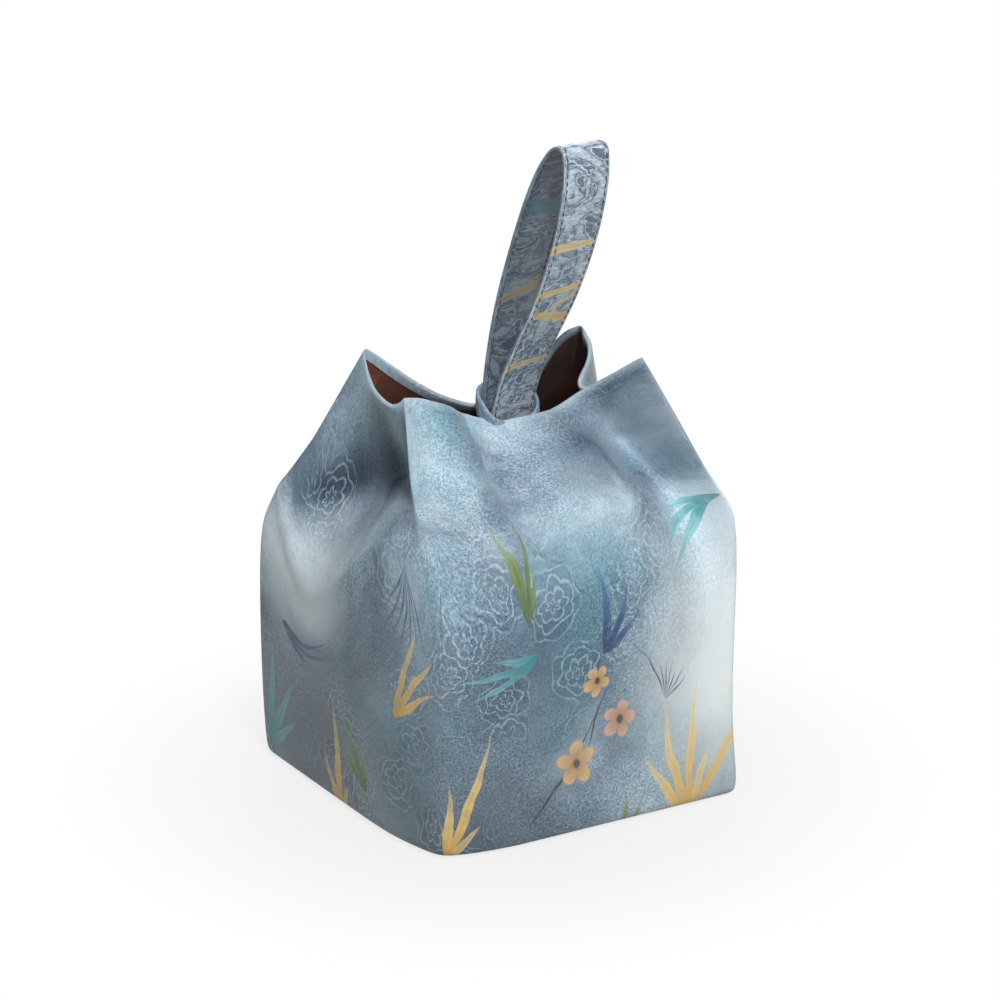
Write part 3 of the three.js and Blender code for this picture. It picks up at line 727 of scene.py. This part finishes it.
# Printed cotton satin: a smooth cloth with a soft shine, duller where it is printed. The weave is 0.35 mm
# in life and is drawn at 0.8 mm so that it shows. The turned edge is worn a little paler.
BRUSH_SIZE = 16.667
BRUSH_SWAY = 0.0045
PATCH_EDGE_SIZE = 33.333
PATCH_SPREAD = 0.015
THREAD_PITCH = 0.0008
WEAVE_HEIGHT = 0.35
FLECK_HEIGHT = 0.3
HEM_WEAR = (0.2015, 0.2055)
outer_material, outer_tree, outer_shader = new_material("printed_satin")
cloth_place = add_node(outer_tree, "UVMap", {"uv_map": "cloth"})
wall_ground = add_node(outer_tree, "Group", {"node_tree": ground, "Marbling": 0.14, "Place": cloth_place})
cloth_axes = add_node(outer_tree, "SeparateXYZ", {0: cloth_place}).outputs
repeat_along = calculate(outer_tree, "WRAP", cloth_axes["X"], BAG_WIDTH / 1000, -BAG_DEPTH / 1000)
repeat_place = add_node(outer_tree, "CombineXYZ", {"X": repeat_along, "Y": cloth_axes["Y"]})
brush = patches(outer_tree, repeat_place, BRUSH_SIZE, 1.5)
brush_place = add_node(outer_tree, "VectorMath", {
    "operation": "MULTIPLY_ADD", 0: brush.outputs["Color"], 1: (BRUSH_SWAY, BRUSH_SWAY, 0), 2: repeat_place})
patch_edge = patches(outer_tree, repeat_place, PATCH_EDGE_SIZE, 4.0, roughness=0.6)
patch_place = add_node(outer_tree, "VectorMath", {
    "operation": "MULTIPLY_ADD", 0: patch_edge.outputs["Color"], 1: (2 * PATCH_SPREAD, 2 * PATCH_SPREAD, 0),
    2: repeat_place})


# Lays soft round patches of colour: washes of the print, and the painted shade and painted light among them
def wash_and_light_over(colour_under, washes_and_light):
    for (centre_along, centre_up), radius, amount, colour in washes_and_light:
        centre = (centre_along + PATCH_SPREAD, centre_up + PATCH_SPREAD, 0)
        patch_reach = add_node(outer_tree, "VectorMath", {"operation": "DISTANCE", 0: patch_place, 1: centre})
        wash_and_light_share = ramp(outer_tree, patch_reach, radius, 0.0, high=amount, kind="SMOOTHSTEP")
        colour_under = mix(outer_tree, wash_and_light_share, colour_under, linear(colour))
    return colour_under


# Prints the damask and the flecks, and gives the new colour and how high the print stands
def figure_over(tree, colour_under, place, fleck_amount):
    with_damask = add_node(tree, "Group", {"node_tree": damask, "Under": colour_under, "Place": place})
    with_flecks = add_node(tree, "Group", {
        "node_tree": flecks, "Amount": fleck_amount, "Under": with_damask, "Place": place})
    relief = calculate(
        tree, "MULTIPLY_ADD", with_flecks.outputs["Relief"], FLECK_HEIGHT, with_damask.outputs["Relief"])
    return with_flecks, relief


def sprays_over(tree, colour_under, place, sprays):
    for root, turn, side_leaves, step, length, breadth, bend, (root_colour, tip_colour) in sprays:
        colour_under = add_node(tree, "Group", {
            "node_tree": leaf_spray, "Centre": (*root, 0), "Turn": math.radians(turn),
            "Side Leaves": side_leaves, "Step": math.radians(step), "Length": length, "Breadth": breadth,
            "Bend": bend, "Root": linear(root_colour), "Tip": linear(tip_colour), "Under": colour_under,
            "Place": place})
    return colour_under


# Gives a satin its colour, its weave as bump, its shine and the soft sheen of its fibres
def finish_satin(tree, shader, place, colour, relief, bump_strength, roughness):
    threads = add_node(tree, "VectorMath", {"operation": "SCALE", 0: place, "Scale": TURN / THREAD_PITCH})
    thread_axes = add_node(tree, "SeparateXYZ", {0: threads}).outputs
    warp = calculate(tree, "SINE", thread_axes["X"])
    weft = calculate(tree, "SINE", thread_axes["Y"])
    weave = calculate(tree, "MULTIPLY", warp, weft)
    height = calculate(tree, "MULTIPLY_ADD", weave, WEAVE_HEIGHT, relief)
    bump = add_node(tree, "Bump", {"Strength": bump_strength, "Distance": 0.0003, "Height": height})
    shine = ramp(tree, relief, 0.0, 0.8, *roughness)
    set_node(tree, shader, {
        "Sheen Weight": 0.15, "Sheen Roughness": 0.4, "Base Color": colour, "Normal": bump,
        "Roughness": shine})


# Dark washes and painted shade lie under the damask and the flecks, pale washes and painted light over them
printed = wash_and_light_over(wall_ground, DARK_WASHES_AND_PAINTED_SHADE)
printed, print_relief = figure_over(outer_tree, printed, cloth_place, fleck_amount=0.62)
printed = wash_and_light_over(printed, PALE_WASHES_AND_PAINTED_LIGHT)
printed = sprays_over(outer_tree, printed, brush_place, WALL_SPRAYS)
for centre, turn, radius, petal in WALL_BLOSSOMS:
    printed = add_node(outer_tree, "Group", {
        "node_tree": blossom, "Centre": (*centre, 0), "Turn": math.radians(turn), "Radius": radius,
        "Petal": linear(petal), "Under": printed, "Place": brush_place})
hem_share = ramp(outer_tree, cloth_axes["Y"], *HEM_WEAR, high=0.4)
hemmed = mix(outer_tree, hem_share, printed, linear("#B4C1C9"))
finish_satin(
    outer_tree, outer_shader, cloth_place, hemmed, print_relief, bump_strength=0.35, roughness=(0.50, 0.62))
outer.data.materials.append(outer_material)
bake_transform(outer)
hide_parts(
    "outer_front_left_lower", "outer_back_right_lower", "outer_front_left_upper",
    "outer_back_right_upper")
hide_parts("wadding_front", "wadding_right", "wadding_back", "wadding_left")


# Lining
# A second bag of plain brown satin, cut like the outer one, lies inside it and is caught under the turned
# top edge. It shows in the two open lobes of the mouth.
LINING_CLOSENESS = 0.0002
LINING_DROP = 0.0012
LINING_LEVEL = 0.0034
lining_grid = wall - wall_out * (cloth_depth - LINING_CLOSENESS)
lining_grid[-1] -= LINING_DROP * rim_up
lining_grid[:, :, 2] = np.maximum(lining_grid[:, :, 2], LINING_LEVEL)
lining = loft("lining_cloth", lining_grid, wall_along, wall_up)
soften(lining)
# Brown lining satin: plain dyed, with upright threads, 0.3 mm in life and drawn at 0.9 mm, that shade it
# from red-brown to nearly black, and shallow rumples
LINING_RUMPLE_SIZE = 22.222
LINING_THREAD = 0.0009
LINING_FLOAT = 0.006
lining_material, lining_tree, lining_shader = new_material("brown_lining_satin")
lining_place = add_node(lining_tree, "UVMap", {"uv_map": "cloth"})
rumple = patches(lining_tree, lining_place, LINING_RUMPLE_SIZE, 3.0, distortion=0.6)
rumple_share = ramp(lining_tree, rumple, 0.32, 0.68)
lining_colour = mix(lining_tree, rumple_share, linear("#543024"), linear("#8A5542"))
lining_threads = add_node(lining_tree, "VectorMath", {
    "operation": "MULTIPLY", 0: lining_place, 1: (TURN / LINING_THREAD, TURN / LINING_FLOAT, 0)})
lining_axes = add_node(lining_tree, "SeparateXYZ", {0: lining_threads}).outputs
float_offset = calculate(lining_tree, "ADD", lining_axes["X"], lining_axes["Y"])
lining_ridge = calculate(lining_tree, "SINE", float_offset)
ridge_share = ramp(lining_tree, lining_ridge, -1.0, 1.0, high=0.3)
lining_threaded = mix(lining_tree, ridge_share, lining_colour, linear("#4A2618"))
lining_height = calculate(lining_tree, "MULTIPLY_ADD", lining_ridge, 0.04, rumple)
lining_bump = add_node(lining_tree, "Bump", {"Strength": 0.5, "Distance": 0.003, "Height": lining_height})
lining_shine = ramp(lining_tree, rumple, 0.0, 1.0, low=0.42, high=0.6)
set_node(lining_tree, lining_shader, {
    "Sheen Weight": 0.1, "Base Color": lining_threaded, "Normal": lining_bump, "Roughness": lining_shine})
lining.data.materials.append(lining_material)
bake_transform(lining)
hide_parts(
    "lining_front_left_lower", "lining_back_right_lower", "lining_front_left_upper",
    "lining_back_right_upper")


# Base
# A square of the printed cloth closes the foot of the wall, sewn to it where it turns under. Inside, a
# stiff grey board keeps it flat, and a square of the lining is laid over the board and dips a little.
PANEL_SHARES = (1.0, 0.96, 0.85, 0.7, 0.5, 0.3, 0.12, 0.0)
BASE_OVERLAP = 1.03
BASE_LEVEL = 0.0006
BASE_DIP = 0.0002
BASE_LINING_ROW = 6
BASE_LINING_FIT = 0.998
BASE_LINING_LEVEL = 0.0042
BASE_LINING_DIP = 0.0003


def base_panel(name, ring, height, dip, material):
    centre = ring.mean(axis=0)
    rows = []
    for share in PANEL_SHARES:
        row = centre + share * (ring - centre)
        row[:, 2] = height - dip * (1 - share ** 2)
        rows.append(row)
    panel = loft(name, np.array(rows), wall_along, PANEL_SHARES)
    for loop, place in zip(panel.data.loops, panel.data.uv_layers["cloth"].data):
        place.uv = panel.data.vertices[loop.vertex_index].co.xy
    panel.data.materials.append(material)
    return panel


base_cloth = base_panel("base_cloth", wall[0] * BASE_OVERLAP, BASE_LEVEL, BASE_DIP, outer_material)
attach(base_cloth, "bag")
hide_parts("outer_base_panel")
lining_foot = lining_grid[BASE_LINING_ROW] * BASE_LINING_FIT
base_lining = base_panel("base_lining", lining_foot, BASE_LINING_LEVEL, BASE_LINING_DIP, lining_material)
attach(base_lining, "bag")
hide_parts("lining_base_panel")
# Grey board: pressed paper pulp, mottled, with short pale and dark fibres, sized in millimetres
FIBRE_LENGTH = 2.0
FIBRE_WIDTH = 0.625
board_material, board_tree, board_shader = new_material("grey_board")
board_place = add_node(board_tree, "TexCoord", {}).outputs["Object"]
fibre_place = add_node(board_tree, "VectorMath", {
    "operation": "MULTIPLY", 0: board_place,
    1: (1000 / FIBRE_LENGTH, 1000 / FIBRE_WIDTH, 1000 / FIBRE_LENGTH)})
fibres = add_node(board_tree, "TexNoise", {
    "Scale": 1.0, "Detail": 2.0, "Distortion": 1.5, "Vector": fibre_place})
fibre_share = ramp(board_tree, fibres, 0.35, 0.65)
board_colour = mix(board_tree, fibre_share, linear("#77736C"), linear("#A19C93"))
board_bump = add_node(board_tree, "Bump", {"Strength": 0.3, "Distance": 0.0002, "Height": fibres})
set_node(board_tree, board_shader, {"Roughness": 0.85, "Base Color": board_colour, "Normal": board_bump})
for board_slot in bpy.data.objects["base_board"].material_slots:
    board_slot.material = board_material


# Keeper loop
# A doubled band of the printed cloth, sewn into a flat ring round the foot of the strap and caught in the
# drawn middle of the mouth: low in front behind the lip, and high behind the strap.
KEEPER_CENTRE = (0.0048, -0.0004)
KEEPER_TURN = Euler((0, 0, math.radians(13)))
KEEPER_HALF_LENGTH = 0.0152
KEEPER_HALF_DEPTH = 0.0072
KEEPER_SQUARENESS = 0.62
KEEPER_BAND = 0.0105
KEEPER_LEVEL = 0.1652
KEEPER_RISE = 0.0163
KEEPER_SLOPE = 0.7
KEEPER_STATIONS = 72
KEEPER_PROFILE = [
    (-0.5, 0.3), (-0.46, 0.85), (-0.3, 1.0), (0, 1.1), (0.3, 1.0), (0.46, 0.85),
    (0.5, 0.3), (0.46, -0.3), (0.3, -0.4), (0, -0.4), (-0.3, -0.4), (-0.46, -0.3),
]
KEEPER_CUT_ALONG = (0.020, 0.095)
KEEPER_CUT_UP = (0.165, 0.189)
HALF_BAND = 0.0011
keeper_rows = []
for station in range(KEEPER_STATIONS):
    turn = TURN * station / KEEPER_STATIONS
    cosine = math.cos(turn)
    sine = math.sin(turn)
    x = KEEPER_HALF_LENGTH * math.copysign(abs(cosine) ** KEEPER_SQUARENESS, cosine)
    y = KEEPER_HALF_DEPTH * math.copysign(abs(sine) ** KEEPER_SQUARENESS, sine)
    back = (0.5 + 0.5 * y / KEEPER_HALF_DEPTH) ** KEEPER_SLOPE
    place = Vector((x, y, 0))
    place.rotate(KEEPER_TURN)
    place += Vector((*KEEPER_CENTRE, KEEPER_LEVEL + KEEPER_RISE * back))
    outward = Vector((cosine * KEEPER_HALF_DEPTH, sine * KEEPER_HALF_LENGTH, 0)).normalized()
    outward.rotate(KEEPER_TURN)
    ring = []
    for up, out in KEEPER_PROFILE:
        ring.append(place + Vector((0, 0, KEEPER_BAND * up)) + outward * HALF_BAND * out)
    keeper_rows.append(ring + ring[:1])
keeper_grid = np.array(keeper_rows).transpose(1, 0, 2)
keeper_along = np.linspace(*KEEPER_CUT_ALONG, KEEPER_STATIONS + 1)
keeper_up = np.linspace(*KEEPER_CUT_UP, len(keeper_grid))
keeper = loft("keeper_band", keeper_grid, keeper_along, keeper_up)
keeper.data.materials.append(outer_material)
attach(keeper, "drawn_top")
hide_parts("keeper_loop")


# Strap handle
# One flat band of the printed cloth, folded round a core with its edges turned in and sewn. It runs up
# through the keeper, over a tight crown and down behind, and is fixed inside the mouth at both ends.
STRAP_WIDTH = 0.0272
STRAP_GIRTH = 0.054
STRAP_SAMPLES = 8
# Height, middle of the two legs in x and y, and the gap between them
STRAP_STATIONS = [
    (0.150, 0.0056, 0.0034, 0.0046),
    (0.166, 0.0058, 0.0030, 0.0050),
    (0.178, 0.0065, 0.0018, 0.0062),
    (0.196, 0.0082, -0.0012, 0.0108),
    (0.220, 0.0120, -0.0086, 0.0204),
    (0.240, 0.0153, -0.0142, 0.0236),
    (0.259, 0.0182, -0.0190, 0.0236),
    (0.275, 0.0205, -0.0226, 0.0208),
    (0.286, 0.0219, -0.0252, 0.0164),
    (0.2925, 0.0227, -0.0268, 0.0108),
]
CROWN = (0.0234, -0.0279, 0.2974)
CROWN_ROLL = (-0.0006, 0.0034, -0.0012)
# The band turns back a little as it rises, and dips towards the right
STRAP_TURN = 14
STRAP_TURN_BACK = 4
STRAP_DIP = 4.5
LEG_FOOT = 0.15
LEG_LENGTH = 0.15
FREE_FOOT = 0.178
FREE_LENGTH = 0.12


def strap_leg(side):
    points = []
    for height, x, y, gap in STRAP_STATIONS:
        turn = math.radians(STRAP_TURN - STRAP_TURN_BACK * (height - LEG_FOOT) / LEG_LENGTH)
        half_gap = side * gap / 2
        points.append((x - half_gap * math.sin(turn), y + half_gap * math.cos(turn), height))
    return points


def crown_point(side):
    roll_x, roll_y, drop = CROWN_ROLL
    return CROWN[0] + side * roll_x, CROWN[1] + side * roll_y, CROWN[2] + abs(side) * drop


FRONT, BACK = -1, 1
strap_points = strap_leg(FRONT) + [crown_point(side) for side in (FRONT, 0, BACK)] + strap_leg(BACK)[::-1]
strap_line = spline_rows(np.array(strap_points), STRAP_SAMPLES, False)
strap_run = np.concatenate([[0], np.cumsum(np.linalg.norm(np.diff(strap_line, axis=0), axis=1))])
strap_tangent = np.gradient(strap_line, axis=0)
strap_tangent /= np.linalg.norm(strap_tangent, axis=1, keepdims=True)
# Shares of the width across and of the half thickness out: the rows of stitching draw in a groove
STRAP_EDGE = [(-0.5, 0.35), (-0.49, 0.75), (-0.47, 0.88), (-0.435, 0.66), (-0.39, 0.9), (-0.2, 1.05)]
STRAP_FACE = STRAP_EDGE + [(0, 1.1)] + [(-across, out) for across, out in reversed(STRAP_EDGE)]
STRAP_PROFILE = STRAP_FACE + [(across, -out) for across, out in reversed(STRAP_FACE)]
strap_rows = []
strap_frames = []
for point, tangent in zip(strap_line, strap_tangent):
    share = min(1.0, max(0.0, (point[2] - FREE_FOOT) / FREE_LENGTH))
    turn = math.radians(STRAP_TURN - STRAP_TURN_BACK * share)
    dip = math.radians(STRAP_DIP * share)
    width = np.array((math.cos(turn) * math.cos(dip), math.sin(turn), -math.sin(dip)))
    width -= tangent * width.dot(tangent)
    width /= np.linalg.norm(width)
    outward = np.cross(width, tangent)
    strap_frames.append((tangent, width, outward))
    strap_rows.append([
        point + width * STRAP_WIDTH * across + outward * HALF_BAND * out for across, out in STRAP_PROFILE])
strap_across = np.linspace(0, STRAP_GIRTH, len(STRAP_PROFILE) + 1)
strap = loft("strap", np.array(strap_rows), strap_across, strap_run)
# Strap satin: the same printed cloth, cut across so that broad ochre and teal leaves cross the band at a
# slant, in metres round the band and along it. The inner face is painted darker as painted shade, and the
# sewn edges are rubbed pale.
STRAP_SPRAYS = [
    ((-0.010, 0.046), 4, 0, 30, 0.052, 0.0026, 3, OCHRE),
    ((0.038, 0.066), 168, 0, 30, 0.058, 0.0030, -4, OCHRE),
    ((-0.012, 0.078), 30, 0, 30, 0.062, 0.0020, -5, OCHRE),
    ((0.040, 0.107), 216, 0, 30, 0.062, 0.0018, 4, OCHRE),
    ((-0.010, 0.108), 2, 0, 30, 0.054, 0.0026, 3, OCHRE),
    ((0.036, 0.142), 128, 0, 30, 0.060, 0.0016, -3, OCHRE),
    ((-0.006, 0.190), 20, 0, 30, 0.060, 0.0030, 2, NAVY),
    ((0.034, 0.222), 168, 0, 30, 0.060, 0.0028, 3, OCHRE),
    ((0.022, 0.112), 12, 0, 30, 0.060, 0.0030, 2, NAVY),
    ((0.062, 0.190), 174, 0, 30, 0.066, 0.0040, 1, TEAL),
    ((0.022, 0.225), 24, 0, 30, 0.060, 0.0024, 3, OCHRE),
]
FACE_EDGE = STRAP_GIRTH / 2
FACE_EDGE_BLUR = 0.0005
strap_material, strap_tree, strap_shader = new_material("strap_satin")
band_place = add_node(strap_tree, "UVMap", {"uv_map": "cloth"})
strap_ground = add_node(strap_tree, "Group", {"node_tree": ground, "Marbling": 0.75, "Place": band_place})
banded, band_relief = figure_over(strap_tree, strap_ground, band_place, fleck_amount=0.45)
banded = sprays_over(strap_tree, banded, band_place, STRAP_SPRAYS)
round_band = add_node(strap_tree, "SeparateXYZ", {0: band_place}).outputs["X"]
# Painted shade: the inner face of the band is darkened to stand for its shadow
inner_shade_share = ramp(strap_tree, round_band, FACE_EDGE - FACE_EDGE_BLUR, FACE_EDGE + FACE_EDGE_BLUR, high=0.6)
shade_deepened = mix(strap_tree, inner_shade_share, banded, linear("#26384A"))
across_face = calculate(strap_tree, "PINGPONG", round_band, FACE_EDGE / 2)
edge_rub = ramp(strap_tree, across_face, 0.0010, 0.0002, high=0.18)
rubbed = mix(strap_tree, edge_rub, shade_deepened, linear("#C9D2D8"))
finish_satin(
    strap_tree, strap_shader, band_place, rubbed, band_relief, bump_strength=0.4, roughness=(0.42, 0.55))
strap.data.materials.append(strap_material)
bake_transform(strap)
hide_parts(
    "strap_tail_front", "strap_tail_back", "strap_neck", "strap_outer_strip", "strap_core",
    "strap_inner_strip")


# Strap stitching
# Dark polyester thread, machine-sewn in one row near each edge of the strap and showing on both faces. Each
# stitch is a short rounded bead, half sunk in the cloth.
STITCH_PITCH = 0.0034
STITCH_HALF_SIZE = np.array((0.0013, 0.00046, 0.00034))
STITCH_ROW = 0.435
STITCH_HEIGHT = 0.00078
stitch_shape = bmesh.new()
for side in (-1, 1):
    for face in (-1, 1):
        position = STITCH_PITCH
        while position < strap_run[-1] - STITCH_PITCH:
            point = np.array([np.interp(position, strap_run, strap_line[:, axis]) for axis in range(3)])
            basis = strap_frames[int(np.argmin(np.abs(strap_run - position)))]
            tangent, width, outward = basis
            centre = point + width * STRAP_WIDTH * STITCH_ROW * side + outward * STITCH_HEIGHT * face
            bead = bmesh.ops.create_icosphere(stitch_shape, subdivisions=1, radius=1.0)
            for vertex in bead["verts"]:
                vertex.co = Vector(centre + (np.array(vertex.co) * STITCH_HALF_SIZE) @ np.array(basis))
            position += STITCH_PITCH
stitches = finish_mesh("strap_stitching", stitch_shape)
# Spun polyester thread: nearly black, with the twist of its plies showing as paler lines. A wave texture
# turns through 20 radians in one unit of its scale.
PLY_PITCH = 0.0005
WAVE_RADIANS = 20
thread_material, thread_tree, thread_shader = new_material("spun_thread")
thread_place = add_node(thread_tree, "TexCoord", {}).outputs["Object"]
plies = add_node(thread_tree, "TexWave", {
    "bands_direction": "DIAGONAL", "Scale": TURN / WAVE_RADIANS / PLY_PITCH, "Distortion": 1.0,
    "Vector": thread_place}).outputs["Fac"]
thread_colour = mix(thread_tree, plies, linear("#24242E"), linear("#4B4E5A"))
thread_bump = add_node(thread_tree, "Bump", {"Strength": 0.5, "Distance": 0.0001, "Height": plies})
set_node(thread_tree, thread_shader, {"Roughness": 0.5, "Base Color": thread_colour, "Normal": thread_bump})
stitches.data.materials.append(thread_material)
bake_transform(stitches)


low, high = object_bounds()
